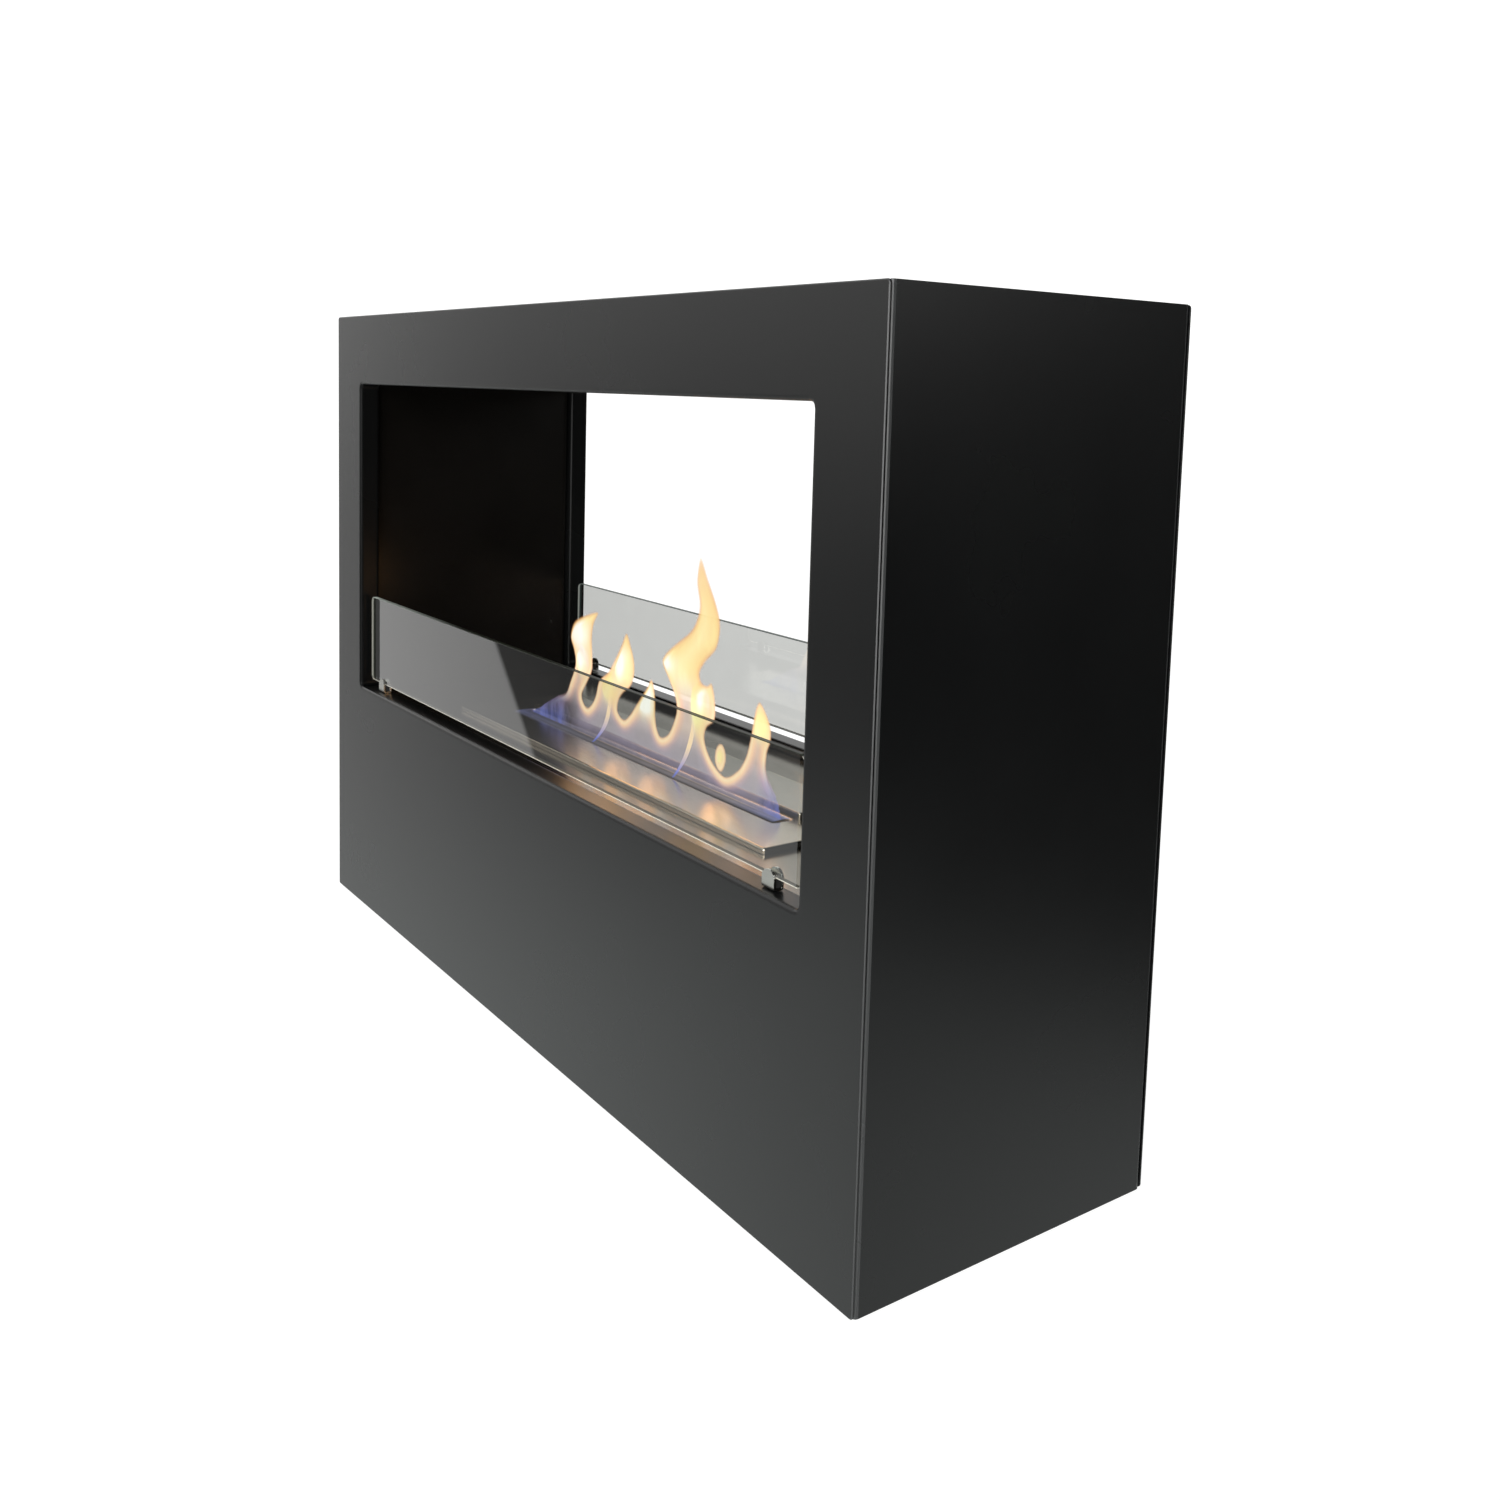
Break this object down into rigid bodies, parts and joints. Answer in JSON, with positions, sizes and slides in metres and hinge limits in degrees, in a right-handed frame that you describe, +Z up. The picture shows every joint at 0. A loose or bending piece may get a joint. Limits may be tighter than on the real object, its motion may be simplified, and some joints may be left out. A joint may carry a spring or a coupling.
{
  "type": "freestanding bioethanol fireplace",
  "caption": "Freestanding see-through bioethanol fireplace: black sheet cabinet open front and back, low glass panes in clips and a lift-out stainless burner with a sliding cover",
  "frame": {"origin": "on the floor under the middle of the cabinet", "axes": "+X along the cabinet's width, to the right in the front view; +Y from the front face to the rear face; +Z up"},
  "size_m": [1, 0.3, 0.7],
  "materials": {
    "black_powder_coat": "fine-textured matte black powder coat",
    "black_heat_paint": "satin black heat-proof paint",
    "brushed_stainless": "brushed stainless steel",
    "polished_stainless": "polished stainless steel",
    "zinc_plate": "bright zinc-plated steel",
    "clear_glass": "clear toughened glass with ground edges",
    "black_rubber": "matte black rubber",
    "ceramic_wool": "off-white pressed ceramic fibre"
  },
  "bodies": {
    "casing": {"base_panel": "black_powder_coat", "ceiling_screw_front_1": "zinc_plate", "ceiling_screw_front_2": "zinc_plate", "ceiling_screw_rear_1": "zinc_plate", "ceiling_screw_rear_2": "zinc_plate", "clip_pad_front_left": "black_rubber", "clip_pad_front_right": "black_rubber", "clip_pad_rear_left": "black_rubber", "clip_pad_rear_right": "black_rubber", "clip_screw_front_left": "zinc_plate", "clip_screw_front_right": "zinc_plate", "clip_screw_rear_left": "zinc_plate", "clip_screw_rear_right": "zinc_plate", "firebox_ceiling": "black_heat_paint", "firebox_hearth": "black_heat_paint", "firebox_left_wall": "black_heat_paint", "firebox_right_wall": "black_heat_paint", "foot_front_left": "black_rubber", "foot_front_right": "black_rubber", "foot_nut_front_left": "zinc_plate", "foot_nut_front_right": "zinc_plate", "foot_nut_rear_left": "zinc_plate", "foot_nut_rear_right": "zinc_plate", "foot_rear_left": "black_rubber", "foot_rear_right": "black_rubber", "front_panel": "black_powder_coat", "glass_clip_front_left": "polished_stainless", "glass_clip_front_right": "polished_stainless", "glass_clip_rear_left": "polished_stainless", "glass_clip_rear_right": "polished_stainless", "hearth_screw_front_1": "zinc_plate", "hearth_screw_front_2": "zinc_plate", "hearth_screw_rear_1": "zinc_plate", "hearth_screw_rear_2": "zinc_plate", "left_screw_front_1": "zinc_plate", "left_screw_rear_1": "zinc_plate", "left_side_panel": "black_powder_coat", "rear_panel": "black_powder_coat", "right_screw_front_1": "zinc_plate", "right_screw_rear_1": "zinc_plate", "right_side_panel": "black_powder_coat", "top_panel": "black_powder_coat"},
    "burner": {"burner_tank": "brushed_stainless", "burner_top_plate": "brushed_stainless", "ceramic_wool_pad": "ceramic_wool", "wool_retainer": "brushed_stainless"},
    "cover": {"burner_cover": "brushed_stainless", "cover_guide_left": "brushed_stainless", "cover_guide_right": "brushed_stainless"},
    "front_pane": {"front_glass": "clear_glass"},
    "rear_pane": {"rear_glass": "clear_glass"}
  },
  "joints": [
    {"name": "burner_lift", "type": "slide", "parent": "casing", "child": "burner", "axis": [0, 0, 1], "range_m": [0, 0.08]},
    {"name": "cover_slide", "type": "slide", "parent": "burner", "child": "cover", "axis": [0, -1, 0], "range_m": [0, 0.024]},
    {"name": "front_glass_lift", "type": "slide", "parent": "casing", "child": "front_pane", "axis": [0, 0, 1], "range_m": [0, 0.03]},
    {"name": "rear_glass_lift", "type": "slide", "parent": "casing", "child": "rear_pane", "axis": [0, 0, 1], "range_m": [0, 0.03]}
  ]
}
